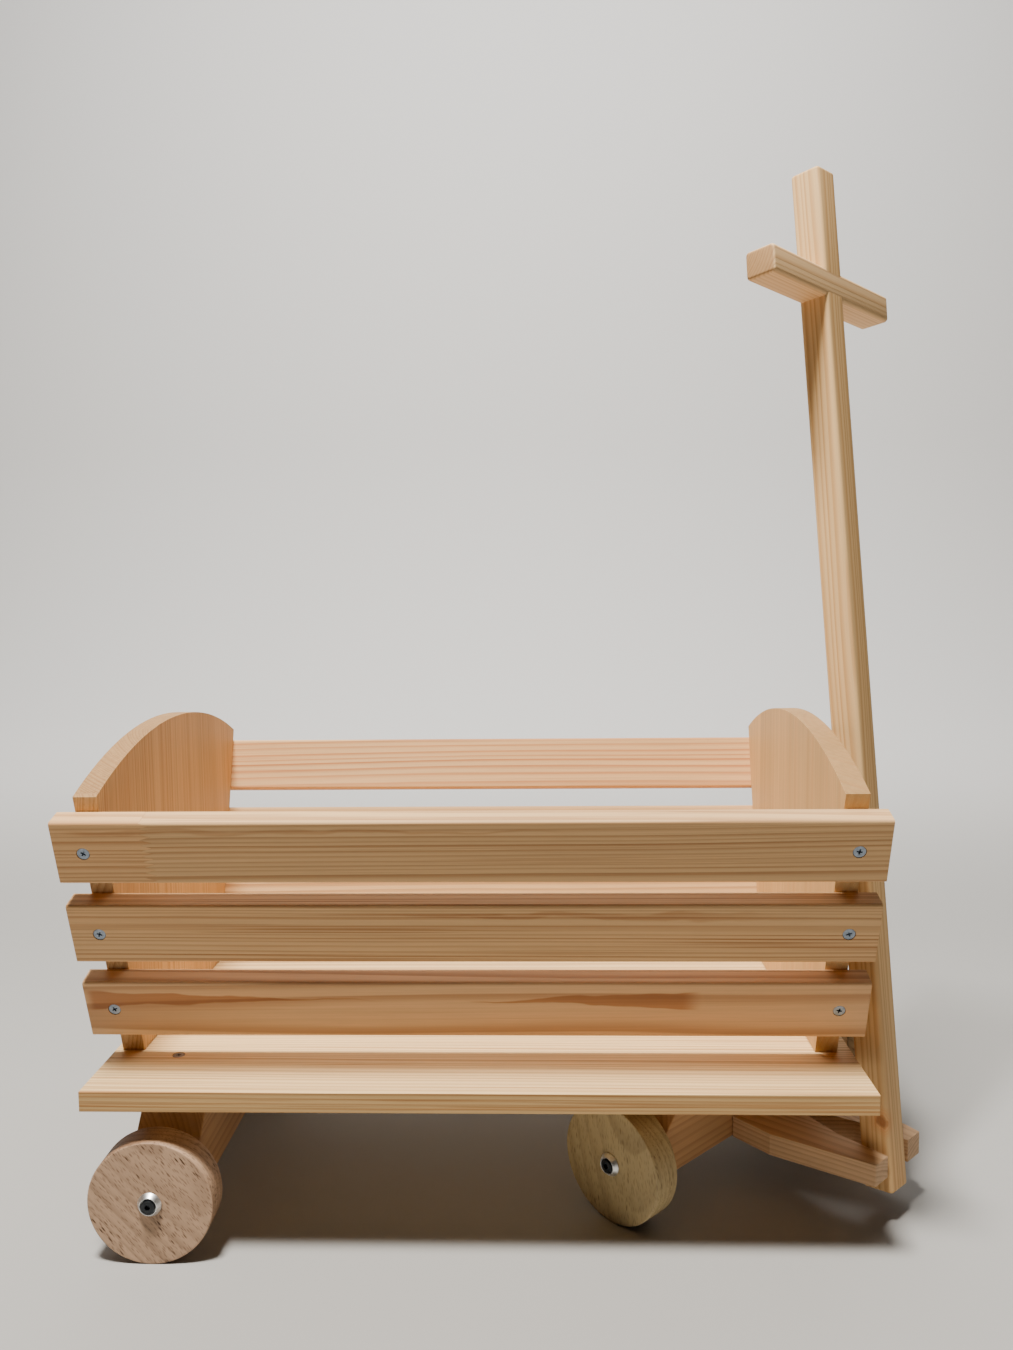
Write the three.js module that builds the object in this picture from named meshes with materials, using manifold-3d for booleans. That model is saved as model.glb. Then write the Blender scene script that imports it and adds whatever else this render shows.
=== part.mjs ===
// Toy wooden pull wagon (handcart) with a steered front axle and a T-shaped pull rod.
// Units mm. +Z up, +X to the front (pull-rod end), +Y to the left-hand side of a driver
// looking forward. Origin on the ground under the middle of the overall box; the design
// sizes below are measured from the middle of the side slats, CX behind it.
import * as THREE from 'three';
import { mergeVertices } from 'three/addons/utils/BufferGeometryUtils.js';
import Module from 'manifold-3d';

const wasm = await Module();
wasm.setup();
const { Manifold, Mesh: MMesh } = wasm;

// ---------------------------------------------------------------- main sizes
const GAP = 0.3;                    // clearance between neighbouring pieces
const DEG = Math.PI / 180;
const CX = 35.307;                  // middle of the overall box, from the middle of the slats
const WHEEL_R = 44, WHEEL_T = 23, WHEEL_EDGE = 2.5, WHEEL_BORE = 3.4;
const AXLE_Z = 44;
const FLOOR_TOP = 125.5, FLOOR_T = 14;
const FLOOR_X0 = -269, FLOOR_X1 = 273.5, FLOOR_HALF = 160.5;
const LEAN = 17.63 * DEG;           // outward slope of the sides
const SIDE_Y = 95.1;                // half width of an end board at the floor
const END_T = 16, END_RISE = 204.3, END_PEAK = 238.2;
const END_REAR_X = -263.5, END_FRONT_X = 247; // lower X face of each end board
const SLAT_L = 550, SLAT_T = 16.3, SLAT_W = 47;
const SLAT_S = { top: 180.5, mid: 115.9, low: 51.5 };
const SLAT_SCREW_X = [-255.5, 255];
const BEAM_Z0 = 37.3, BEAM_W = 47;
const REAR_BEAM_X = -219.4, REAR_HALF = 133;
const REAR_AXLE_X = -223.8;
const KING_X = 210.6, STEER = 45.2 * DEG;
const FRONT_HALF = 129, FRONT_V0 = -22, FRONT_V1 = 26, FRONT_AXLE_V = -6;
const RUB = 2;                      // thickness of the rubbing washer over the front beam
const ARM_Z0 = 37.4, ARM_Z1 = 54.1;
const PIVOT_V = 126.4, PIVOT_Z = 45.8;
// along the rod, from the pivot: its top, its foot and the middle of the cross bar
const ROD_W = 23.4, ROD_TOP = 729.5, ROD_FOOT = 23.6;
const ROD_BACK = 6.5 * DEG, ROD_SIDE = 1.5 * DEG;
const BAR_H = 20.4, BAR_MID = 643.2, BAR_L0 = 79.8, BAR_L1 = 80.7, BAR_TILT = 2.1 * DEG;

// ---------------------------------------------------------------- helpers
function solid(geom) {
  let g = geom.index ? geom.toNonIndexed() : geom.clone();
  for (const k of Object.keys(g.attributes)) if (k !== 'position') g.deleteAttribute(k);
  g = mergeVertices(g, 1e-4);
  return new Manifold(new MMesh({
    numProp: 3,
    vertProperties: new Float32Array(g.attributes.position.array),
    triVerts: new Uint32Array(g.index.array),
  }));
}
function geomOf(man) {
  const m = man.getMesh();
  const g = new THREE.BufferGeometry();
  g.setAttribute('position', new THREE.BufferAttribute(new Float32Array(m.vertProperties), 3));
  g.setIndex(new THREE.BufferAttribute(new Uint32Array(m.triVerts), 1));
  return g;
}
function cut(geom, ...tools) {
  let s = solid(geom);
  for (const t of tools) s = s.subtract(solid(t));
  return geomOf(s);
}
const M = () => new THREE.Matrix4();
const T = (x, y, z) => M().makeTranslation(x, y, z);
const RX = (a) => M().makeRotationX(a);
const RY = (a) => M().makeRotationY(a);
const RZ = (a) => M().makeRotationZ(a);
const mul = (...ms) => ms.reduce((a, b) => a.multiply(b), M());
function at(geom, m) { const g = geom.clone(); g.applyMatrix4(m); return g; }

// a plain block between two corners
function block(x0, x1, y0, y1, z0, z1) {
  const g = new THREE.BoxGeometry(x1 - x0, y1 - y0, z1 - z0);
  g.translate((x0 + x1) / 2, (y0 + y1) / 2, (z0 + z1) / 2);
  return g;
}
// a profile of [a, b] points pushed along a third axis from c0 to c1
function prism(pts, c0, c1) {
  const s = new THREE.Shape(pts.map(([a, b]) => new THREE.Vector2(a, b)));
  const g = new THREE.ExtrudeGeometry(s, { depth: c1 - c0, bevelEnabled: false, curveSegments: 1 });
  g.translate(0, 0, c0);
  return g;
}
// rounded rectangle outline, centred
function roundRect(w, h, r, n = 4) {
  const out = [];
  const cs = [[w / 2 - r, h / 2 - r, 0], [-w / 2 + r, h / 2 - r, 90], [-w / 2 + r, -h / 2 + r, 180], [w / 2 - r, -h / 2 + r, 270]];
  for (const [cx, cy, a0] of cs) {
    for (let i = 0; i <= n; i++) {
      const a = (a0 + (90 * i) / n) * DEG;
      out.push([cx + r * Math.cos(a), cy + r * Math.sin(a)]);
    }
  }
  return out;
}
// turned piece about Z from [radius, z] points, listed either way round
function turned(pts, seg = 32) {
  let area = 0;
  pts.forEach(([r, z], i) => { const [r2, z2] = pts[(i + 1) % pts.length]; area += r * z2 - r2 * z; });
  const p = area < 0 ? pts.slice().reverse() : pts;
  return new THREE.LatheGeometry(p.map(([r, z]) => new THREE.Vector2(Math.max(r, 0), z)), seg).applyMatrix4(RX(Math.PI / 2));
}
// LatheGeometry turns about Y; RX(90) carries +Y to +Z
function bar(r, z0, z1, seg = 24) {
  return turned([[0, z0], [r, z0], [r, z1], [0, z1]], seg);
}

const root = new THREE.Group();
root.name = 'toy_pull_wagon';
const colours = {
  pine_floor: 0xe2c39a, pine_end: 0xd9b183, pine_slat: 0xd3a878, beam_wood: 0xb8865a,
  wheel_wood: 0xa58570, fork_wood: 0xb58f72, rod_wood: 0xc79b68, bar_wood: 0xc8a274,
  zinc: 0xa9adb2, rosette: 0xd5d8da, black_steel: 0x24262a,
};
function add(name, geom, slot, matrix) {
  let g = at(matrix ? at(geom, matrix) : geom, T(-CX, 0, 0));
  g = g.index ? g.toNonIndexed() : g;
  for (const k of Object.keys(g.attributes)) if (k !== 'position') g.deleteAttribute(k);
  g.computeVertexNormals();
  const metal = slot === 'zinc' || slot === 'rosette' || slot === 'black_steel';
  const mat = new THREE.MeshStandardMaterial({ color: colours[slot], metalness: metal ? 0.9 : 0, roughness: metal ? 0.35 : 0.65 });
  mat.name = slot;
  const mesh = new THREE.Mesh(g, mat);
  mesh.name = name;
  root.add(mesh);
  return mesh;
}

// ---------------------------------------------------------------- fasteners
// countersunk wood screw, head face at z = 0, shank towards -Z, with a socket in the head
const CSK_R = 4.4, CSK_H = 3.0, SHANK_R = 1.9;
function woodScrew(len) {
  return turned([[0, -1.8], [1.3, -1.6], [1.5, 0], [CSK_R - 0.2, 0], [CSK_R, -0.3], [SHANK_R, -CSK_H], [SHANK_R, -len + 5], [0, -len]], 18);
}
function woodScrewHole(len, sink = 0) {
  const c = 0.15;
  return turned([[0, 1], [CSK_R + c, 1], [CSK_R + c, -0.3 - sink], [SHANK_R + c, -CSK_H - c], [SHANK_R + c, -len + 5], [0, -len - 0.6]], 18);
}
const SLAT_SCREW_L = 42, FLOOR_SCREW_L = 38;

// ---------------------------------------------------------------- floor planks
const plankW = (2 * FLOOR_HALF - 2 * GAP) / 3;
const floorScrewY = [-103, 0, 103];
const floorScrewRearX = REAR_BEAM_X + 0.2;
const floorScrewFrontX = END_FRONT_X + END_T / 2;
const floorZ0 = FLOOR_TOP - FLOOR_T;
const SEAT_EDGE = 0.4;             // margin of the seats round the end boards
['near', 'middle', 'far'].forEach((nm, i) => {
  const y0 = -FLOOR_HALF + i * (plankW + GAP), y1 = y0 + plankW;
  const yc = [-85, 0, 85][i];
  let g = block(FLOOR_X0, FLOOR_X1, y0, y1, floorZ0, FLOOR_TOP);
  const tools = [at(woodScrewHole(FLOOR_SCREW_L), T(floorScrewRearX, floorScrewY[i], FLOOR_TOP - 0.2)),
    at(woodScrewHole(FLOOR_SCREW_L), mul(T(floorScrewFrontX, yc, floorZ0 + 0.2), RX(Math.PI)))];
  if (i === 1) tools.push(at(bar(4.3, -50, 50, 32), T(KING_X, 0, FLOOR_TOP)), at(bar(9.4, -GAP, 5, 32), T(KING_X, 0, FLOOR_TOP)));
  // shallow seats under the end boards
  for (const x of [END_REAR_X, END_FRONT_X]) tools.push(block(x - SEAT_EDGE, x + END_T + SEAT_EDGE, -SIDE_Y - SEAT_EDGE, SIDE_Y + SEAT_EDGE, FLOOR_TOP - GAP, FLOOR_TOP + 5));
  add(`floor_plank_${nm}`, cut(g, ...tools), 'pine_floor');
});
floorScrewY.forEach((y, i) => {
  add(`floor_screw_rear_${i + 1}`, woodScrew(FLOOR_SCREW_L), 'zinc', T(floorScrewRearX, y, FLOOR_TOP - 0.2));
});
[-85, 0, 85].forEach((y, i) => {
  add(`floor_screw_front_${i + 1}`, woodScrew(FLOOR_SCREW_L), 'zinc', mul(T(floorScrewFrontX, y, floorZ0 + 0.2), RX(Math.PI)));
});

// ---------------------------------------------------------------- side frames
// frame of one side: origin on the end board's edge line at floor level,
// local x along the wagon, local y outward (square to the slats), local z up the slope
function sideM(side) {
  // side -1: -Y side, +1: +Y side
  const out = new THREE.Vector3(0, side * Math.cos(LEAN), -Math.sin(LEAN));
  const up = new THREE.Vector3(0, side * Math.sin(LEAN), Math.cos(LEAN));
  const x = new THREE.Vector3(side, 0, 0); // keeps the triad right-handed
  return M().makeBasis(x, out, up).setPosition(0, side * SIDE_Y, FLOOR_TOP);
}
const screwDir = RX(-Math.PI / 2); // head face turned to local +Y
const slatScrewM = (side, key, X) => mul(sideM(side), T(side * X, GAP + SLAT_T - 0.3, SLAT_S[key]), screwDir);

// ---------------------------------------------------------------- end boards
function endProfile() {
  const yb = SIDE_Y, yt = SIDE_Y + END_RISE * Math.tan(LEAN);
  const sag = END_PEAK - END_RISE, R = (yt * yt + sag * sag) / (2 * sag);
  const pts = [[-yb, 0], [yb, 0], [yt, END_RISE]];
  const half = Math.asin(yt / R), n = 28;
  for (let i = 1; i < n; i++) {
    const a = half - (2 * half * i) / n;
    pts.push([R * Math.sin(a), END_PEAK - R + R * Math.cos(a)]);
  }
  pts.push([-yt, END_RISE]);
  return pts;
}
[['rear', END_REAR_X, SLAT_SCREW_X[0]], ['front', END_FRONT_X, SLAT_SCREW_X[1]]].forEach(([nm, x0, xs]) => {
  // profile (y, z) pushed along X
  const g = at(prism(endProfile(), 0, END_T), mul(T(x0, 0, FLOOR_TOP), RZ(Math.PI / 2), RX(Math.PI / 2)));
  const tools = [];
  for (const side of [-1, 1]) for (const k of Object.keys(SLAT_S)) tools.push(at(woodScrewHole(SLAT_SCREW_L), slatScrewM(side, k, xs)));
  if (nm === 'front') [-85, 0, 85].forEach((y) => tools.push(at(woodScrewHole(FLOOR_SCREW_L), mul(T(floorScrewFrontX, y, floorZ0 + 0.2), RX(Math.PI)))));
  add(`end_board_${nm}`, cut(g, ...tools), 'pine_end');
});

// ---------------------------------------------------------------- slats and their screws
for (const [nm, side] of [['near', -1], ['far', 1]]) {
  for (const k of Object.keys(SLAT_S)) {
    const prof = roundRect(SLAT_T, SLAT_W, 2, 4).map(([a, b]) => [a + GAP + SLAT_T / 2, b + SLAT_S[k]]);
    // profile (y out, z up the slope) pushed along local x
    const body = at(prism(prof, -SLAT_L / 2, SLAT_L / 2), mul(sideM(side), RZ(Math.PI / 2), RX(Math.PI / 2)));
    const tools = SLAT_SCREW_X.map((X) => at(woodScrewHole(SLAT_SCREW_L), slatScrewM(side, k, X)));
    add(`slat_${nm}_${k}`, cut(body, ...tools), 'pine_slat');
    SLAT_SCREW_X.forEach((X, i) => {
      add(`slat_screw_${nm}_${k}_${i ? 'front' : 'rear'}`, woodScrew(SLAT_SCREW_L), 'zinc', slatScrewM(side, k, X));
    });
  }
}

// ---------------------------------------------------------------- wheels and axle bolts
function wheelGeom() {
  const R = WHEEL_R, e = WHEEL_EDGE, t = WHEEL_T / 2, b = WHEEL_BORE;
  const pts = [[b, -t]];
  for (let i = 0; i <= 4; i++) { const a = (-90 + 22.5 * i) * DEG; pts.push([R - e + e * Math.cos(a), -t + e + e * Math.sin(a)]); }
  for (let i = 0; i <= 4; i++) { const a = (22.5 * i) * DEG; pts.push([R - e + e * Math.cos(a), t - e + e * Math.sin(a)]); }
  pts.push([b, t], [b, -t]);
  return turned(pts, 60);
}
// conical rosette: base ring at z = 0, rising to +Z, dished for the bolt head
const ROSETTE = [[3.3, 0], [8.4, 0], [8.5, 0.6], [6.6, 3.6], [6.1, 3.9], [5.7, 3.7], [3.3, 1.2], [3.3, 0]];
// bolt: head face at z = 3.9, shank to -Z, hexagon socket in the head
const BOLT_R = 3.0;
function axleBolt(len) {
  const g = turned([[0, 3.7], [4.9, 3.7], [5.3, 3.3], [3.0, 0.7], [3.0, -len + 4], [1.2, -len], [0, -len]], 32);
  const hex = new THREE.CylinderGeometry(2.3, 2.3, 2.6, 6).applyMatrix4(RX(Math.PI / 2));
  hex.translate(0, 0, 3.7 - 1.0);
  return cut(g, hex);
}
const AXLE_BOLT_L = WHEEL_T + 2.6 + 42;
function axleBoltHole(len) { return turned([[0, 5], [BOLT_R + 0.15, 5], [BOLT_R + 0.15, -len + 4], [1.35, -len], [0, -len - 0.5]], 24); }
const innerWasher = turned([[3.3, 0], [9, 0], [9, 1.6], [3.3, 1.6], [3.3, 0]], 32);
// frame with +Z pointing outward along the axle, origin on the wheel's outer face
function wheelPieces(tag, faceM) {
  add(`wheel_${tag}`, wheelGeom(), 'wheel_wood', mul(faceM.clone(), T(0, 0, -WHEEL_T / 2)));
  add(`wheel_rosette_${tag}`, turned(ROSETTE, 40), 'rosette', mul(faceM.clone(), T(0, 0, 0.2)));
  add(`wheel_bolt_${tag}`, axleBolt(AXLE_BOLT_L), 'black_steel', mul(faceM.clone(), T(0, 0, 0.9)));
  add(`wheel_washer_${tag}`, innerWasher, 'zinc', mul(faceM.clone(), T(0, 0, -WHEEL_T - 0.2 - 1.6)));
}
const faceOut = WHEEL_T + 2.0; // beam end to outer wheel face

// ---------------------------------------------------------------- rear axle beam
// profile across the wagon (y, z): square lower part, wide 45-degree shoulders
function beamProfile(half, zs, zTop, top) {
  return [[-half, BEAM_Z0], [half, BEAM_Z0], [half, zs], [top, zTop], [-top, zTop], [-half, zs]];
}
const rearFace = (s) => mul(T(REAR_AXLE_X, s * (REAR_HALF + faceOut), AXLE_Z), RX(s < 0 ? Math.PI / 2 : -Math.PI / 2));
{
  const prof = beamProfile(REAR_HALF, 74.5, floorZ0 - GAP, 99);
  const g = at(prism(prof, 0, BEAM_W), mul(T(REAR_BEAM_X - BEAM_W / 2, 0, 0), RZ(Math.PI / 2), RX(Math.PI / 2)));
  const tools = floorScrewY.map((y) => at(woodScrewHole(FLOOR_SCREW_L), T(floorScrewRearX, y, FLOOR_TOP - 0.2)));
  for (const s of [-1, 1]) tools.push(at(axleBoltHole(AXLE_BOLT_L), mul(rearFace(s), T(0, 0, 0.9))));
  add('rear_axle_beam', cut(g, ...tools), 'beam_wood');
}
wheelPieces('rear_near', rearFace(-1));
wheelPieces('rear_far', rearFace(1));

// ---------------------------------------------------------------- front steering unit
// built straight ahead about the kingpin, then turned towards -Y by STEER
const FM = mul(T(KING_X, 0, 0), RZ(-STEER));
const frontTop = floorZ0 - RUB - 2 * GAP;
const frontFace = (s) => mul(T(FRONT_AXLE_V, s * (FRONT_HALF + faceOut), AXLE_Z), RX(s < 0 ? Math.PI / 2 : -Math.PI / 2));
const ARM_SCREW_Y = 24;
{
  const prof = beamProfile(FRONT_HALF, 70.4, frontTop, 90.5);
  const g = at(prism(prof, FRONT_V0, FRONT_V1), mul(RZ(Math.PI / 2), RX(Math.PI / 2)));
  const tools = [bar(4.3, 0, 150, 32)];
  for (const s of [-1, 1]) tools.push(at(axleBoltHole(AXLE_BOLT_L), mul(frontFace(s), T(0, 0, 0.9))));
  add('front_axle_beam', cut(g, ...tools), 'beam_wood', FM);
}
wheelPieces('front_near', mul(FM.clone(), frontFace(-1)));
wheelPieces('front_far', mul(FM.clone(), frontFace(1)));

// kingpin: round-head bolt down through the floor and the beam
add('kingpin_bolt', turned([[0, 3.6], [3, 3.4], [7, 2.2], [8.6, 0.3], [8.6, 0], [4, 0], [4, -102], [3.3, -103], [0, -103]], 36), 'zinc', T(KING_X, 0, FLOOR_TOP));
add('steering_washer', turned([[4.3, 0], [19, 0], [19, RUB], [4.3, RUB], [4.3, 0]], 40), 'zinc', T(KING_X, 0, frontTop + GAP));
add('kingpin_washer', turned([[4.3, 0], [10, 0], [10, 1.6], [4.3, 1.6], [4.3, 0]], 36), 'zinc', T(KING_X, 0, BEAM_Z0 - GAP - 1.6));
{
  const h = 7;
  const hex = new THREE.CylinderGeometry(7.5, 7.5, h, 6).applyMatrix4(RX(Math.PI / 2));
  add('kingpin_nut', cut(hex, bar(4.12, -10, 10, 32)), 'zinc', T(KING_X, 0, BEAM_Z0 - 2 * GAP - 1.6 - h / 2));
}

// ---------------------------------------------------------------- fork arms and pivot
const PIN_R = 3, SEAT_Y = 34;
for (const [nm, s] of [['near', -1], ['far', 1]]) {
  const v0 = FRONT_V1 + GAP;
  const out = [[v0, s * 0.2], [50, s * 0.2], [97, s * 13], [138, s * 15], [138, s * 33], [61.5, s * 50], [v0, s * 47.5]];
  const pts = s < 0 ? out.slice().reverse() : out;
  const g = prism(pts, ARM_Z0, ARM_Z1);
  const hole = at(bar(PIN_R + 0.15, nm === 'near' ? -27 : -60, 60, 28), mul(T(PIVOT_V, 0, PIVOT_Z), RX(-Math.PI / 2)));
  const tools = [hole];
  // flat seat for the washer in the sloping outer side of the far arm
  if (nm === 'far') tools.push(at(bar(8.2, 0, 20, 32), mul(T(PIVOT_V, SEAT_Y, PIVOT_Z), RX(-Math.PI / 2))));
  add(`fork_arm_${nm}`, cut(g, ...tools), 'fork_wood', FM);
}
// pivot bolt along the axle direction; its head sits on the far arm and it ends inside the near arm
add('pivot_bolt', turned([[0, 4], [4, 4], [5, 3], [5, 0], [PIN_R, 0], [PIN_R, -62], [0, -62]], 32), 'zinc',
  mul(FM.clone(), T(PIVOT_V, SEAT_Y + 2 * GAP + 1.4, PIVOT_Z), RX(-Math.PI / 2)));
add('pivot_washer', turned([[3.3, 0], [7.5, 0], [7.5, 1.4], [3.3, 1.4], [3.3, 0]], 32), 'zinc',
  mul(FM.clone(), T(PIVOT_V, SEAT_Y + GAP, PIVOT_Z), RX(-Math.PI / 2)));

// ---------------------------------------------------------------- pull rod and cross bar
// local frame: origin on the pivot, z up the rod
const RODM = mul(FM.clone(), T(PIVOT_V, 0, PIVOT_Z), RY(-ROD_BACK), RX(-ROD_SIDE));
const barM = mul(T(0, 0, BAR_MID), RX(-BAR_TILT));
{
  const prof = roundRect(ROD_W, ROD_W, 3, 4);
  const g = prism(prof, -ROD_FOOT, ROD_TOP);
  // the front half of the rod is notched for the bar
  const notch = at(block(-0.15, ROD_W, -40, 40, -BAR_H / 2 - 0.15, BAR_H / 2 + 0.15), barM);
  const pin = at(bar(PIN_R + 0.25, -40, 40, 28), mul(RX(ROD_SIDE), RX(-Math.PI / 2)));
  add('pull_rod', cut(g, notch, pin), 'rod_wood', RODM);
  // bar: profile (x, z) pushed along y
  const bprof = roundRect(ROD_W, BAR_H, 3, 4);
  const b = at(prism(bprof, -BAR_L0, BAR_L1), RX(Math.PI / 2));
  // after RX(90) the push axis +Z points to -Y, the near end
  const bnotch = at(block(-ROD_W, 0.15, -ROD_W / 2 - 0.15, ROD_W / 2 + 0.15, -40, 40), RX(BAR_TILT));
  add('cross_bar', cut(b, bnotch), 'bar_wood', mul(RODM.clone(), barM));
}

export default root;
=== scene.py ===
import math

import bmesh
import bpy
import numpy as np
from mathutils import Euler, Matrix, Vector


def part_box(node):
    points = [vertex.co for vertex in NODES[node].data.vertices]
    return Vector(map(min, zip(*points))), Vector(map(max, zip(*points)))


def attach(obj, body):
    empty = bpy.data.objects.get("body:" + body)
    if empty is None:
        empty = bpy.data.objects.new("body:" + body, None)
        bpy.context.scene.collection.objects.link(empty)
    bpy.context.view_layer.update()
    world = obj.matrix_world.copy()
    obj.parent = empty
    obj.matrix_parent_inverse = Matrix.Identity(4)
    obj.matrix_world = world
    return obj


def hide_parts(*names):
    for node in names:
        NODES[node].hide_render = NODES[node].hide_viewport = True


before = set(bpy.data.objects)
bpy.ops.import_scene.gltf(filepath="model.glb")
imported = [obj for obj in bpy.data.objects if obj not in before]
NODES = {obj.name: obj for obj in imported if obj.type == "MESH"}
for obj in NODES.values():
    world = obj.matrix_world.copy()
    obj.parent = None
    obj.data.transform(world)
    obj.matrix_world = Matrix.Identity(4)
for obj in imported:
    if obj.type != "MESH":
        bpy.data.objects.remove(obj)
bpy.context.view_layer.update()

D = bpy.data
DEG = math.pi / 180.0

# ------------------------------------------------------------------ camera
# position, heading, tilt and focal length of the viewing angle
CAM = Vector((0.012256, -0.842949, 0.470242))
YAW, PITCH, ROLL = 1.751 * DEG, 5.107 * DEG, -0.600 * DEG
FOCAL_PX, WIDTH_PX = 1054.13, 1013.0
fwd = Vector((-math.sin(YAW) * math.cos(PITCH), math.cos(YAW) * math.cos(PITCH), -math.sin(PITCH)))
right = Vector((math.cos(YAW), math.sin(YAW), 0.0))
up = right.cross(fwd)
r_ = right * math.cos(ROLL) + up * math.sin(ROLL)
u_ = -right * math.sin(ROLL) + up * math.cos(ROLL)
cam_data = D.cameras.new("camera")
cam_data.sensor_fit = "HORIZONTAL"
cam_data.sensor_width = 36.0
cam_data.lens = 36.0 * FOCAL_PX / WIDTH_PX
cam_data.clip_start = 0.02
cam = D.objects.new("camera", cam_data)
rot = Matrix((r_, u_, -fwd)).transposed().to_4x4()
cam.matrix_world = Matrix.Translation(CAM) @ rot
bpy.context.collection.objects.link(cam)
bpy.context.scene.camera = cam

# ------------------------------------------------------------------ frames of the moving parts
KING = Vector((0.175293, 0.0, 0.0))
STEER = 45.2 * DEG
FWD = Vector((math.cos(STEER), -math.sin(STEER), 0.0))      # steered forward
SIDE = Vector((math.sin(STEER), math.cos(STEER), 0.0))      # steered far side
Z = Vector((0, 0, 1))
PIVOT = KING + FWD * 0.1264 + Z * 0.0458
FRONT_M = Matrix.Translation(KING) @ Matrix.Rotation(-STEER, 4, "Z")
ROD_M = Matrix.Translation(PIVOT) @ Matrix.Rotation(-STEER, 4, "Z") @ Matrix.Rotation(-6.5 * DEG, 4, "Y") @ Matrix.Rotation(-1.5 * DEG, 4, "X")
BAR_M = ROD_M @ Matrix.Translation((0, 0, 0.6432)) @ Matrix.Rotation(-2.1 * DEG, 4, "X")


# ------------------------------------------------------------------ materials
def srgb(r, g, b):
    def f(c):
        c /= 255.0
        return c / 12.92 if c <= 0.04045 else ((c + 0.055) / 1.055) ** 2.4
    return (f(r), f(g), f(b), 1.0)


class N:
    """a few short helpers for building node trees"""

    def __init__(self, tree):
        self.t = tree

    def add(self, kind, **kw):
        n = self.t.nodes.new(kind)
        for k, v in kw.items():
            setattr(n, k, v)
        return n

    def link(self, a, b):
        self.t.links.new(a, b)

    def math(self, op, a, b=None, c=None, clamp=False):
        n = self.add("ShaderNodeMath", operation=op, use_clamp=clamp)
        for i, v in enumerate((a, b, c)):
            if v is None:
                continue
            if isinstance(v, (int, float)):
                n.inputs[i].default_value = v
            else:
                self.link(v, n.inputs[i])
        return n.outputs[0]

    def step(self, v, lo, hi):
        n = self.add("ShaderNodeMapRange", interpolation_type="SMOOTHSTEP", clamp=True)
        self.link(v, n.inputs["Value"])
        n.inputs["From Min"].default_value = lo
        n.inputs["From Max"].default_value = hi
        return n.outputs["Result"]

    def scale(self, vec, s):
        n = self.add("ShaderNodeVectorMath", operation="MULTIPLY")
        self.link(vec, n.inputs[0])
        n.inputs[1].default_value = s
        return n.outputs[0]

    def shift(self, vec, s):
        n = self.add("ShaderNodeVectorMath", operation="ADD")
        self.link(vec, n.inputs[0])
        n.inputs[1].default_value = s
        return n.outputs[0]

    def noise(self, vec, scale=1.0, detail=2.0, rough=0.5):
        n = self.add("ShaderNodeTexNoise", noise_dimensions="3D")
        self.link(vec, n.inputs["Vector"])
        n.inputs["Scale"].default_value = scale
        n.inputs["Detail"].default_value = detail
        n.inputs["Roughness"].default_value = rough
        return n.outputs["Fac"]

    def mix(self, fac, a, b, blend="MIX"):
        n = self.add("ShaderNodeMix", data_type="RGBA", blend_type=blend)
        if isinstance(fac, (int, float)):
            n.inputs[0].default_value = fac
        else:
            self.link(fac, n.inputs[0])
        for sock, v in ((n.inputs[6], a), (n.inputs[7], b)):
            if isinstance(v, tuple):
                sock.default_value = v
            else:
                self.link(v, sock)
        return n.outputs[2]


def log_frame(grain, across, origin, pith=(0.0, 0.06), skew=0.0):
    """matrix from the part's frame to a log's frame: X along the grain, pith on the X axis"""
    g = Vector(grain).normalized()
    a = Vector(across)
    a = (a - g * a.dot(g)).normalized()
    n = g.cross(a)
    # small skew: the log runs slightly across the board
    g2 = (g + a * skew).normalized()
    a2 = (a - g2 * a.dot(g2)).normalized()
    n2 = g2.cross(a2)
    R = Matrix((g2, a2, n2))
    t = -(R @ Vector(origin)) + Vector((0, pith[0], pith[1]))
    return R.to_4x4(), t


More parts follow.
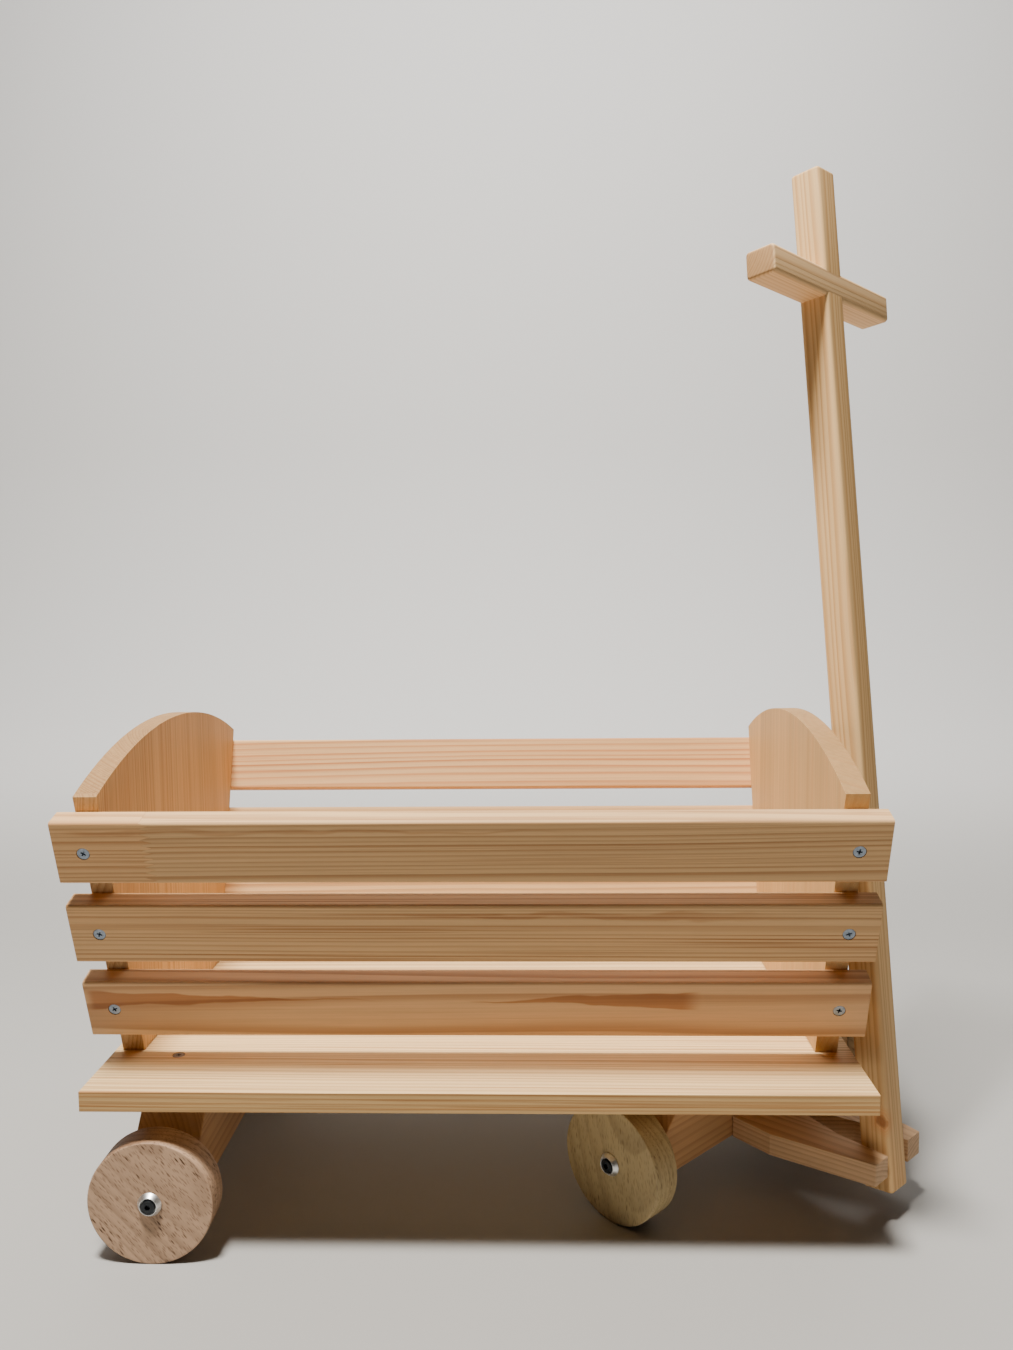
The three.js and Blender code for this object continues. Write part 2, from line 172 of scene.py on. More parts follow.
def wood(name, log, early, late, ring=0.0035, late_amount=0.75, warp=0.006, fibre=0.16, tone=0.18,
         tint=None, rough=0.62, fleck=0.0, knots=(), seed=0.0, strips=None, bump=0.25, curl=0.0,
         joints=(), patches=(), across=None, centre=None, lines=0.0, endgrain=0.85, shaded_side_axis=None):
    m = D.materials.new(name)
    m.use_nodes = True
    t = m.node_tree
    t.nodes.clear()
    q = N(t)
    out = q.add("ShaderNodeOutputMaterial")
    bsdf = q.add("ShaderNodeBsdfPrincipled")
    q.link(bsdf.outputs[0], out.inputs[0])
    R, off = log
    tc = q.add("ShaderNodeTexCoord")
    mp = q.add("ShaderNodeMapping", vector_type="POINT")
    q.link(tc.outputs["Object"], mp.inputs["Vector"])
    e = R.to_euler("XYZ")
    mp.inputs["Rotation"].default_value = (e.x, e.y, e.z)
    mp.inputs["Location"].default_value = (off.x + seed, off.y, off.z)
    P = mp.outputs["Vector"]
    sep = q.add("ShaderNodeSeparateXYZ")
    q.link(P, sep.inputs[0])
    X, Y, Zc = sep.outputs
    if strips:
        # glued strips: each strip of width w takes its own piece of log
        w = strips
        idx = q.math("FLOOR", q.math("DIVIDE", Y, w))
        rnd = q.add("ShaderNodeTexWhiteNoise", noise_dimensions="1D")
        q.link(idx, rnd.inputs["W"])
        rv = rnd.outputs["Value"]
        Y = q.math("ADD", Y, q.math("MULTIPLY", rv, 0.31))
        Zc = q.math("ADD", Zc, q.math("MULTIPLY", rv, 0.05))
        X = q.math("ADD", X, q.math("MULTIPLY", rv, 1.7))
        comb = q.add("ShaderNodeCombineXYZ")
        q.link(X, comb.inputs[0]); q.link(Y, comb.inputs[1]); q.link(Zc, comb.inputs[2])
        P = comb.outputs[0]
    else:
        rv = None
    # place along and across the board, in metres from its middle
    jd = None
    if centre is not None:
        def along(vec):
            d = q.add("ShaderNodeVectorMath", operation="DOT_PRODUCT")
            q.link(q.shift(tc.outputs["Object"], tuple(-c for c in centre)), d.inputs[0])
            d.inputs[1].default_value = vec
            return d.outputs["Value"]
        U = along((1.0, 0.0, 0.0))
        V = along(tuple(across))
    if joints:
        # finger joint: a zigzag line where a new piece of wood begins
        tri = q.math("PINGPONG", V, 0.0021)
        total = None
        for xj in joints:
            edge = q.math("SUBTRACT", q.math("ADD", U, q.math("MULTIPLY", tri, 3.6)), xj)
            on = q.math("GREATER_THAN", edge, 0.0)
            line = q.math("SUBTRACT", 1.0, q.step(q.math("ABSOLUTE", edge), 0.0, 0.0006))
            total = on if total is None else q.math("ADD", total, on)
            jd = line if jd is None else q.math("MAXIMUM", jd, line)
        Y = q.math("ADD", Y, q.math("MULTIPLY", total, 0.021))
        Zc = q.math("ADD", Zc, q.math("MULTIPLY", total, 0.017))
        X = q.math("ADD", X, q.math("MULTIPLY", total, 0.83))
        comb = q.add("ShaderNodeCombineXYZ")
        q.link(X, comb.inputs[0]); q.link(Y, comb.inputs[1]); q.link(Zc, comb.inputs[2])
        P = comb.outputs[0]
    # slow wander of the rings along and across the grain
    wander = q.noise(q.scale(P, (2.2, 14.0, 14.0)), 1.0, 1.5, 0.5)
    r = q.math("SQRT", q.math("ADD", q.math("MULTIPLY", Y, Y), q.math("MULTIPLY", Zc, Zc)))
    r = q.math("ADD", r, q.math("MULTIPLY", q.math("SUBTRACT", wander, 0.5), warp))
    if curl:
        wv = q.noise(q.scale(P, (9.0, 3.0, 3.0)), 1.0, 1.0, 0.5)
        r = q.math("ADD", r, q.math("MULTIPLY", q.math("SUBTRACT", wv, 0.5), curl))
    # ring widths vary from year to year
    wn = q.add("ShaderNodeTexNoise", noise_dimensions="1D")
    q.link(q.math("MULTIPLY", r, 0.22 / ring), wn.inputs["W"])
    wn.inputs["Scale"].default_value = 1.0
    wn.inputs["Detail"].default_value = 1.0
    ph = q.math("ADD", q.math("DIVIDE", r, ring), q.math("MULTIPLY", wn.outputs["Fac"], 2.6))
    f = q.math("FRACT", ph)
    latew = q.math("MULTIPLY", q.step(f, 0.30, 0.88), q.math("SUBTRACT", 1.0, q.step(f, 0.90, 1.0)))
    # each year's dark line has its own strength
    yr = q.add("ShaderNodeTexWhiteNoise", noise_dimensions="1D")
    q.link(q.math("FLOOR", ph), yr.inputs["W"])
    latew = q.math("MULTIPLY", latew, q.math("ADD", 0.55, q.math("MULTIPLY", yr.outputs["Value"], 0.55)))
    col = q.mix(q.math("MULTIPLY", latew, late_amount), early, late)
    # fine fibres, finer than the rings, long along the grain
    fine = q.noise(q.scale(P, (26.0, 1500.0, 1500.0)), 1.0, 2.0, 0.6)
    mid = q.noise(q.scale(P, (5.0, 210.0, 210.0)), 1.0, 2.0, 0.55)
    slow = q.noise(q.scale(P, (1.6, 16.0, 16.0)), 1.0, 2.0, 0.5)
    gain = q.math("ADD", 1.0, q.math("MULTIPLY", q.math("SUBTRACT", fine, 0.5), fibre * 1.6))
    gain = q.math("MULTIPLY", gain, q.math("ADD", 1.0, q.math("MULTIPLY", q.math("SUBTRACT", mid, 0.5), fibre * 2.0)))
    gain = q.math("MULTIPLY", gain, q.math("ADD", 1.0, q.math("MULTIPLY", q.math("SUBTRACT", slow, 0.5), tone * 2.0)))
    if rv is not None:
        gain = q.math("MULTIPLY", gain, q.math("ADD", 0.93, q.math("MULTIPLY", rv, 0.14)))
    g = q.add("ShaderNodeCombineColor")
    for i in range(3):
        q.link(gain, g.inputs[i])
    col = q.mix(1.0, col, g.outputs[0], "MULTIPLY")
    if tint:
        # a second, warmer tone in slow patches
        col = q.mix(q.math("MULTIPLY", q.step(slow, 0.42, 0.72), tint[1]), col, tint[0], "MULTIPLY")
    if lines:
        # thin dark lines that run the length of the board
        ln = q.noise(q.scale(P, (3.0, 620.0, 620.0)), 1.0, 1.0, 0.5)
        col = q.mix(q.math("MULTIPLY", q.step(ln, 0.56, 0.70), lines), col, late)
    for (x0, x1, v0, h0, h1, soft0, soft1, amount, pcol) in patches:
        # a darker patch of resin-rich wood, with its own half height at each end
        wob = q.noise(q.scale(tc.outputs["Object"], (22.0, 60.0, 60.0)), 1.0, 2.0, 0.5)
        mid_v = q.math("ADD", v0, q.math("MULTIPLY", q.math("SUBTRACT", wob, 0.5), 0.010))
        frac = q.math("DIVIDE", q.math("SUBTRACT", U, x0), x1 - x0, clamp=True)
        hh = q.math("ADD", h0, q.math("MULTIPLY", frac, h1 - h0))
        dv = q.math("SUBTRACT", hh, q.math("ABSOLUTE", q.math("SUBTRACT", V, mid_v)))
        mk = q.math("MULTIPLY", q.step(dv, 0.0, 0.0016), q.step(U, x0 - soft0, x0))
        mk = q.math("MULTIPLY", mk, q.math("SUBTRACT", 1.0, q.step(U, x1, x1 + soft1)))
        col = q.mix(q.math("MULTIPLY", mk, amount), col, pcol, "MULTIPLY")
    if jd is not None:
        col = q.mix(q.math("MULTIPLY", jd, 0.35), col, late)
    # end grain drinks the light: darker where the surface faces along the grain
    eg = q.add("ShaderNodeVectorMath", operation="DOT_PRODUCT")
    q.link(tc.outputs["Normal"], eg.inputs[0])
    eg.inputs[1].default_value = tuple(R[0][:3])
    col = q.mix(q.math("MULTIPLY", q.step(q.math("ABSOLUTE", eg.outputs["Value"]), 0.62, 0.92), endgrain), col, (0.50, 0.42, 0.34, 1.0), "MULTIPLY")
    if shaded_side_axis:
        # painted shade: faces that face along this axis are darkened as if in shade; the stronger dark lines added on
        # them are grain
        sn = q.add("ShaderNodeVectorMath", operation="DOT_PRODUCT")
        q.link(tc.outputs["Normal"], sn.inputs[0])
        sn.inputs[1].default_value = shaded_side_axis
        # mask of the faces that get the painted shade
        side = q.step(q.math("ABSOLUTE", sn.outputs["Value"]), 0.70, 0.95)
        col = q.mix(side, col, (0.66, 0.60, 0.52, 1.0), "MULTIPLY")
        sl = q.noise(q.scale(P, (4.0, 380.0, 380.0)), 1.0, 2.0, 0.6)
        col = q.mix(q.math("MULTIPLY", q.math("MULTIPLY", q.step(sl, 0.50, 0.62), side), 0.45), col, late)
    if fleck:
        # short dark pores along the grain
        vor = q.add("ShaderNodeTexVoronoi", feature="F1", voronoi_dimensions="3D")
        q.link(q.scale(P, (150.0, 900.0, 900.0)), vor.inputs["Vector"])
        vor.inputs["Scale"].default_value = 1.0
        dots = q.math("SUBTRACT", 1.0, q.step(vor.outputs["Distance"], 0.12, 0.46))
        patch = q.step(q.noise(q.scale(P, (14.0, 90.0, 90.0)), 1.0, 1.0, 0.5), 0.42, 0.62)
        vor2 = q.add("ShaderNodeTexVoronoi", feature="F1", voronoi_dimensions="3D")
        q.link(q.scale(P, (95.0, 420.0, 420.0)), vor2.inputs["Vector"])
        vor2.inputs["Scale"].default_value = 1.0
        dots2 = q.math("SUBTRACT", 1.0, q.step(vor2.outputs["Distance"], 0.10, 0.34))
        pores = q.math("MAXIMUM", q.math("MULTIPLY", dots, 0.55), q.math("MULTIPLY", dots2, patch))
        col = q.mix(q.math("MULTIPLY", pores, fleck), col, late)
        height_extra = pores
    else:
        height_extra = None
    for (kp, kr, kcol) in knots:
        # a knot: dark core with a warm halo; kp in the part's own frame
        d = q.add("ShaderNodeVectorMath", operation="DISTANCE")
        q.link(tc.outputs["Object"], d.inputs[0])
        d.inputs[1].default_value = kp
        kn = q.noise(q.scale(tc.outputs["Object"], (180.0, 180.0, 120.0)), 1.0, 2.0, 0.5)
        dist = q.math("ADD", d.outputs["Value"], q.math("MULTIPLY", q.math("SUBTRACT", kn, 0.5), kr * 0.7))
        core = q.math("SUBTRACT", 1.0, q.step(dist, kr * 0.35, kr * 0.6))
        halo = q.math("SUBTRACT", 1.0, q.step(dist, kr * 0.5, kr * 1.5))
        ringk = q.math("ADD", 0.75, q.math("MULTIPLY", q.math("SINE", q.math("MULTIPLY", dist, 6.283 / (kr * 0.22))), 0.25))
        col = q.mix(q.math("MULTIPLY", q.math("MULTIPLY", halo, 0.6), ringk), col, kcol)
        col = q.mix(q.math("MULTIPLY", core, 0.75), col, (kcol[0] * 0.45, kcol[1] * 0.4, kcol[2] * 0.35, 1.0))
    q.link(col, bsdf.inputs["Base Color"])
    rr = q.math("ADD", rough - 0.05, q.math("MULTIPLY", fine, 0.12))
    q.link(rr, bsdf.inputs["Roughness"])
    bsdf.inputs["Specular IOR Level"].default_value = 0.28
    h = q.math("ADD", q.math("MULTIPLY", fine, 0.6), q.math("MULTIPLY", latew, 0.5))
    if height_extra is not None:
        h = q.math("SUBTRACT", h, q.math("MULTIPLY", height_extra, 0.8))
    b = q.add("ShaderNodeBump")
    b.inputs["Strength"].default_value = bump
    b.inputs["Distance"].default_value = 0.0004
    q.link(h, b.inputs["Height"])
    q.link(b.outputs[0], bsdf.inputs["Normal"])
    return m


def metal(name, color, rough, scratch=0.15, coat=0.0, dirt=0.0):
    m = D.materials.new(name)
    m.use_nodes = True
    t = m.node_tree
    t.nodes.clear()
    q = N(t)
    out = q.add("ShaderNodeOutputMaterial")
    bsdf = q.add("ShaderNodeBsdfPrincipled")
    q.link(bsdf.outputs[0], out.inputs[0])
    tc = q.add("ShaderNodeTexCoord")
    n1 = q.noise(q.scale(tc.outputs["Object"], (420.0, 420.0, 420.0)), 1.0, 3.0, 0.6)
    n2 = q.noise(q.scale(tc.outputs["Object"], (2600.0, 2600.0, 600.0)), 1.0, 2.0, 0.6)
    dark = tuple(c * (0.72 - dirt) for c in color[:3]) + (1.0,)
    q.link(q.mix(q.step(n1, 0.35, 0.7), color, dark), bsdf.inputs["Base Color"])
    q.link(q.math("ADD", rough, q.math("MULTIPLY", n2, scratch)), bsdf.inputs["Roughness"])
    bsdf.inputs["Metallic"].default_value = 1.0
    b = q.add("ShaderNodeBump")
    b.inputs["Strength"].default_value = 0.08
    b.inputs["Distance"].default_value = 0.0001
    q.link(n2, b.inputs["Height"])
    q.link(b.outputs[0], bsdf.inputs["Normal"])
    return m


ZINC = metal("zinc_plate", srgb(176, 184, 194), 0.30)
NICKEL = metal("bright_nickel", srgb(236, 238, 238), 0.34, 0.12)
SCREW = metal("blue_zinc_screw", srgb(138, 148, 160), 0.30)
BLACK = metal("black_oxide", srgb(62, 65, 68), 0.36)

# pine tones
P_EARLY = srgb(232, 204, 168)
P_LATE = srgb(196, 146, 96)


# ------------------------------------------------------------------ carried-over CAD nodes
def dress(node, mat, bevel=0.0, seg=3, angle=35):
    o = NODES[node]
    for s in o.material_slots:
        s.link = "OBJECT"
        s.material = mat
    if bevel:
        w = o.modifiers.new("weld", "WELD")
        w.merge_threshold = 1e-5
        b = o.modifiers.new("eased", "BEVEL")
        b.width = bevel
        b.segments = seg
        b.limit_method = "ANGLE"
        b.angle_limit = angle * DEG
        b.use_clamp_overlap = True
        b.harden_normals = False
        b.miter_outer = "MITER_ARC"


LEAN = 17.63 * DEG
for i, nm in enumerate(("near", "middle", "far")):
    n = f"floor_plank_{nm}"
    lo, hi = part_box(n)
    c = (Vector(lo) + Vector(hi)) / 2
    # painted shade: the planks' long edge faces (along Y) are darkened as if in shade
    m = wood(f"pine_floor_{nm}", log_frame((1, 0, 0), (0, 1, 0), c, pith=((0.075, -0.03, 0.05)[i], (0.055, 0.05, -0.06)[i]), skew=0.006 * (i - 1)),
             srgb(232, 196, 140), srgb(164, 110, 58), ring=0.0026, late_amount=0.55, warp=0.004, fibre=0.14, tone=0.10, seed=i * 1.37, lines=0.6, shaded_side_axis=(0.0, 1.0, 0.0))
    dress(n, m, 0.0018, 4)

for nm, sx in (("rear", -1), ("front", 1)):
    n = f"end_board_{nm}"
    lo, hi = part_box(n)
    c = (Vector(lo) + Vector(hi)) / 2
    m = wood(f"pine_end_{nm}", log_frame((0, 0, 1), (0, 1, 0), c, pith=(0.0, 0.09)), srgb(216, 178, 126) if sx < 0 else srgb(214, 176, 120), srgb(168, 116, 66) if sx < 0 else srgb(204, 150, 96),
             ring=0.0022 if sx < 0 else 0.0046, late_amount=0.55 if sx < 0 else 0.4, warp=0.003, fibre=0.18, tone=0.14, strips=0.052, seed=3.1 + sx, lines=0.35 if sx < 0 else 0.12)
    dress(n, m, 0.0016, 4)

SLOPE = {"near": -1, "far": 1}
RED = srgb(212, 186, 164)
slat_logs = {
    ("near", "top"): dict(pith=(0.10, 0.045), ring=0.0034, late_amount=0.62, skew=0.010, warp=0.009, joints=(-0.2086,), lines=0.35,
                          patches=((-0.25, 0.0, 0.0158, 0.0030, 0.0016, 0.02, 0.10, 0.45, RED),)),
    ("near", "mid"): dict(pith=(0.06, 0.10), ring=0.0020, late_amount=0.62, skew=-0.003, warp=0.003, lines=0.6,
                          patches=((-0.02, 0.13, 0.0150, 0.0020, 0.0034, 0.04, 0.12, 0.55, RED),)),
    ("near", "low"): dict(early=srgb(214, 174, 128), late=srgb(148, 102, 62), pith=(0.004, 0.026), ring=0.0052, late_amount=0.62, skew=0.010, warp=0.010, lines=0.15,
                          patches=((-0.268, -0.115, 0.0085, 0.0078, 0.0012, 0.008, 0.06, 1.0, RED), (0.020, 0.145, 0.0080, 0.0014, 0.0086, 0.03, 0.016, 1.0, RED))),
    ("far", "top"): dict(pith=(0.05, 0.09), ring=0.0026, late_amount=0.75, skew=0.006, warp=0.004, lines=0.3, late=srgb(176, 104, 52)),
    ("far", "mid"): dict(pith=(-0.06, 0.06), ring=0.0030, late_amount=0.55, skew=-0.004, warp=0.005),
    ("far", "low"): dict(pith=(0.02, 0.03), ring=0.0036, late_amount=0.55, skew=0.006, warp=0.008),
}
for k, ((side, key), p) in enumerate(slat_logs.items()):
    s = SLOPE[side]
    upv = Vector((0, s * math.sin(LEAN), math.cos(LEAN)))
    n = f"slat_{side}_{key}"
    lo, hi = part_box(n)
    c = (Vector(lo) + Vector(hi)) / 2
    m = wood(f"pine_slat_{side}_{key}", log_frame((1, 0, 0), upv, c, pith=p["pith"], skew=p["skew"]),
             p.get("early", srgb(218, 176, 124)), p.get("late", srgb(152, 100, 54)), ring=p["ring"], late_amount=p["late_amount"], warp=p["warp"],
             fibre=0.15, tone=0.13, seed=0.9 * k, tint=(srgb(255, 232, 212), 0.35), joints=p.get("joints", ()), patches=p.get("patches", ()),
             across=upv, centre=c, lines=p.get("lines", 0.25))
    dress(n, m, 0.0)

m = wood("beam_rear", log_frame((0, 1, 0), (0, 0, 1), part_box("rear_axle_beam")[0], pith=(0.05, 0.10)), srgb(180, 138, 94), srgb(132, 90, 54),
         ring=0.0030, late_amount=0.45, warp=0.006, seed=5.0, tone=0.2)
dress("rear_axle_beam", m, 0.0010)
m = wood("beam_front", log_frame(SIDE, Z, KING, pith=(0.03, 0.10)), srgb(192, 148, 102), srgb(144, 100, 60),
         ring=0.0034, late_amount=0.45, warp=0.006, seed=6.2, tone=0.2)
dress("front_axle_beam", m, 0.0010)
for i, nm in enumerate(("near", "far")):
    m = wood(f"fork_{nm}", log_frame(FWD, SIDE, PIVOT, pith=(0.05 - 0.1 * i, 0.07), skew=0.12 - 0.24 * i), srgb(200, 162, 122), srgb(142, 102, 68),
             ring=0.0030, late_amount=0.5, warp=0.004, seed=7.0 + i, tone=0.16, endgrain=0.0)
    dress(f"fork_arm_{nm}", m, 0.0014, 4)
for n in ("kingpin_bolt", "steering_washer", "kingpin_washer", "kingpin_nut", "pivot_bolt", "pivot_washer"):
    dress(n, ZINC, 0.0003, 2)


# ------------------------------------------------------------------ pieces built finer than the frame
def make(name, bm, mats, matrix=None, body=None, replaces=(), sharp=38):
    bmesh.ops.recalc_face_normals(bm, faces=bm.faces)
    me = D.meshes.new(name)
    bm.to_mesh(me)
    bm.free()
    if matrix is not None:
        me.transform(matrix)
    me.polygons.foreach_set("use_smooth", [True] * len(me.polygons))
    me.set_sharp_from_angle(angle=sharp * DEG)
    for m_ in (mats if isinstance(mats, (list, tuple)) else [mats]):
        me.materials.append(m_)
    o = D.objects.new(name, me)
    bpy.context.collection.objects.link(o)
    if body:
        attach(o, body)
    if replaces:
        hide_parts(*replaces)
    return o


def lathe(profile, segs, phase=0.0):
    """surface of revolution about Z from (r, z) points; points on the axis become one vertex"""
    bm = bmesh.new()
    rings = []
    profile = [p for i, p in enumerate(profile) if i == 0 or math.dist(p, profile[i - 1]) > 1e-6]
    for r, z in profile:
        if r < 1e-7:
            rings.append([bm.verts.new((0, 0, z))])
        else:
            rings.append([bm.verts.new((r * math.cos(phase + 2 * math.pi * k / segs), r * math.sin(phase + 2 * math.pi * k / segs), z)) for k in range(segs)])
    pairs = list(zip(rings, rings[1:]))
    if profile[0][0] > 1e-7:
        pairs.append((rings[-1], rings[0]))
    for a, b in pairs:
        if a is b:
            continue
        for k in range(segs):
            k2 = (k + 1) % segs
            if len(a) == 1 and len(b) == 1:
                continue
            if len(a) == 1:
                bm.faces.new((a[0], b[k], b[k2]))
            elif len(b) == 1:
                bm.faces.new((a[k], b[0], a[k2]))
            else:
                bm.faces.new((a[k], b[k], b[k2], a[k2]))
    return bm


def arc(cx, cz, r, a0, a1, n):
    return [(cx + r * math.cos((a0 + (a1 - a0) * i / n) * DEG), cz + r * math.sin((a0 + (a1 - a0) * i / n) * DEG)) for i in range(n + 1)]


def cut_with(obj, bm_tool, tool_matrix=None):
    """boolean difference, applied, so the result is plain mesh"""
    me = D.meshes.new("tool")
    bmesh.ops.recalc_face_normals(bm_tool, faces=bm_tool.faces)
    bm_tool.to_mesh(me)
    bm_tool.free()
    if tool_matrix is not None:
        me.transform(tool_matrix)
    t = D.objects.new("tool", me)
    bpy.context.collection.objects.link(t)
    md = obj.modifiers.new("cut", "BOOLEAN")
    md.operation = "DIFFERENCE"
    md.solver = "EXACT"
    md.object = t
    dg = bpy.context.evaluated_depsgraph_get()
    res = D.meshes.new_from_object(obj.evaluated_get(dg))
    obj.modifiers.clear()
    clean = bmesh.new()
    clean.from_mesh(res)
    bmesh.ops.remove_doubles(clean, verts=clean.verts[:], dist=2e-6)
    bmesh.ops.dissolve_degenerate(clean, edges=clean.edges[:], dist=2e-6)
    clean.to_mesh(res)
    clean.free()
    mats = [m_ for m_ in obj.data.materials]
    obj.data = res
    obj.data.materials.clear()
    for m_ in mats:
        obj.data.materials.append(m_)
    D.objects.remove(t)
    return obj


def box_bm(x0, x1, y0, y1, z0, z1):
    bm = bmesh.new()
    bmesh.ops.create_cube(bm, size=1.0)
    for v in bm.verts:
        v.co = Vector(((x0, x1)[v.co.x > 0], (y0, y1)[v.co.y > 0], (z0, z1)[v.co.z > 0]))
    return bm


def prism_bm(outline, z0, z1):
    bm = bmesh.new()
    lo = [bm.verts.new((x, y, z0)) for x, y in outline]
    hi = [bm.verts.new((x, y, z1)) for x, y in outline]
    n = len(outline)
    for i in range(n):
        j = (i + 1) % n
        bm.faces.new((lo[i], lo[j], hi[j], hi[i]))
    bm.faces.new(lo[::-1])
    bm.faces.new(hi)
    return bm


# frames of the four wheels: +Z outward along the axle, origin on the outer face
def rear_face(s):
    return Matrix.Translation((-0.259107, s * 0.158, 0.044)) @ Matrix.Rotation(-s * math.pi / 2, 4, "X")


def front_face(s):
    return FRONT_M @ Matrix.Translation((-0.006, s * 0.154, 0.044)) @ Matrix.Rotation(-s * math.pi / 2, 4, "X")


R, T, E, B = 0.044, 0.023, 0.0010, 0.0034
wheel_profile = ([(B, -T + 0.0004), (B + 0.0005, -T), (R - E - 0.0012, -T)] + arc(R - E, -T + E, E, -90, 0, 7) + [(R, -T + E + 0.0012), (R, -T / 2), (R, -E - 0.0012)]
                 + arc(R - E, -E, E, 0, 90, 7) + [(R - E - 0.0012, 0.0), (R * 0.6, 0.0), (B + 0.0005, 0.0), (B, -0.0004)])
WHEELS = {
    "rear_near": (rear_face(-1), "wheel_rear_near_body", "wagon"),
    "rear_far": (rear_face(1), "wheel_rear_far_body", "wagon"),
    "front_near": (front_face(-1), "wheel_front_near_body", "front_axle"),
    "front_far": (front_face(1), "wheel_front_far_body", "front_axle"),
}
# grain of each disc, as a direction in its own face frame, and its tones
wheel_look = {
    "rear_near": (128, srgb(188, 154, 124), srgb(78, 52, 34), 1.0, (0.03, 0.05)),
    "rear_far": (60, srgb(190, 158, 124), srgb(92, 62, 40), 0.7, (0.05, 0.04)),
    "front_near": (96, srgb(184, 162, 118), srgb(100, 80, 48), 0.7, (0.02, 0.09)),
    "front_far": (20, srgb(190, 162, 122), srgb(98, 70, 44), 0.6, (0.06, 0.03)),
}
for k, (tag, (M, body, axle)) in enumerate(WHEELS.items()):
    ang, early, late, fleck, pith = wheel_look[tag]
    R3 = M.to_3x3()
    g = R3 @ Vector((math.cos(ang * DEG), math.sin(ang * DEG), 0.10))
    a = R3 @ Vector((-math.sin(ang * DEG), math.cos(ang * DEG), 0))
    m = wood(f"beech_{tag}", log_frame(g, a, M.translation, pith=pith), early, late, ring=0.0048, late_amount=0.28, warp=0.008,
             fibre=0.13, tone=0.12, rough=0.58, fleck=fleck, seed=9.0 + 1.3 * k, bump=0.3)
    make(f"disc_{tag}", lathe(wheel_profile, 128), m, M, body, (f"wheel_{tag}",))
    # conical hub ring, dished for the bolt head
    hub = [(0.0033, 0.0), (0.0081, 0.0)] + arc(0.0081, 0.0004, 0.0004, -90, 0, 3) + [(0.0083, 0.0008), (0.0064, 0.0033)] + arc(0.00600, 0.0032, 0.0004, 20, 160, 5) + [(0.0055, 0.0028), (0.0054, 0.0011), (0.0033, 0.0011)]
    make(f"hub_ring_{tag}", lathe(hub, 96), NICKEL, M @ Matrix.Translation((0, 0, 0.0002)), axle, (f"wheel_rosette_{tag}",), 30)
    L = 0.0676
    head = [(0.0, 0.0037), (0.0030, 0.0037), (0.0033, 0.00355), (0.0040, 0.00355), (0.0043, 0.0037), (0.0046, 0.0037), (0.0050, 0.0034), (0.0050, 0.0012), (0.0044, 0.0008), (0.0030, 0.0006), (0.0030, -L + 0.004), (0.0012, -L), (0.0, -L)]
    o = make(f"axle_bolt_{tag}", lathe(head, 72), BLACK, M @ Matrix.Translation((0, 0, 0.0009)), axle, (f"wheel_bolt_{tag}",), 30)
    hexo = [(0.0021 * math.cos(i * math.pi / 3), 0.0021 * math.sin(i * math.pi / 3)) for i in range(6)]
    cut_with(o, prism_bm(hexo, 0.0014, 0.006), M @ Matrix.Translation((0, 0, 0.0009)))
    ws = [(0.0033, 0.0), (0.0087, 0.0), (0.0090, 0.0002), (0.0090, 0.0014), (0.0087, 0.0016), (0.0033, 0.0016)]
    make(f"axle_washer_{tag}", lathe(ws, 72), ZINC, M @ Matrix.Translation((0, 0, -T - 0.0018)), axle, (f"wheel_washer_{tag}",), 30)

# countersunk wood screws: cross recess in the head, a plain shank with a pointed tip
def screw_mesh(length):
    prof = [(0.0, 0.0), (0.0032, 0.0), (0.0041, -0.00005), (0.0043, -0.00025), (0.0043, -0.0004), (0.0019, -0.003), (0.0019, -length + 0.005), (0.0, -length)]
    bm = lathe(prof, 64)
    me = D.meshes.new("screw")
    bmesh.ops.recalc_face_normals(bm, faces=bm.faces)
    bm.to_mesh(me)
    bm.free()
    o = D.objects.new("screw_src", me)
    bpy.context.collection.objects.link(o)
    # recess: two crossed tapering slots
    for a in (0, 90):
        b = bmesh.new()
        w, w2, l, l2, d = 0.00058, 0.00040, 0.00215, 0.0010, 0.0019
        top = [b.verts.new(c) for c in ((-l, -w, 0.0004), (l, -w, 0.0004), (l, w, 0.0004), (-l, w, 0.0004))]
        bot = [b.verts.new(c) for c in ((-l2, -w2, -d), (l2, -w2, -d), (l2, w2, -d), (-l2, w2, -d))]
        b.faces.new(top)
        b.faces.new(bot[::-1])
        for i in range(4):
            j = (i + 1) % 4
            b.faces.new((top[i], bot[i], bot[j], top[j]))
        cut_with(o, b, Matrix.Rotation(a * DEG, 4, "Z"))
    res = o.data.copy()
    D.objects.remove(o)
    return res


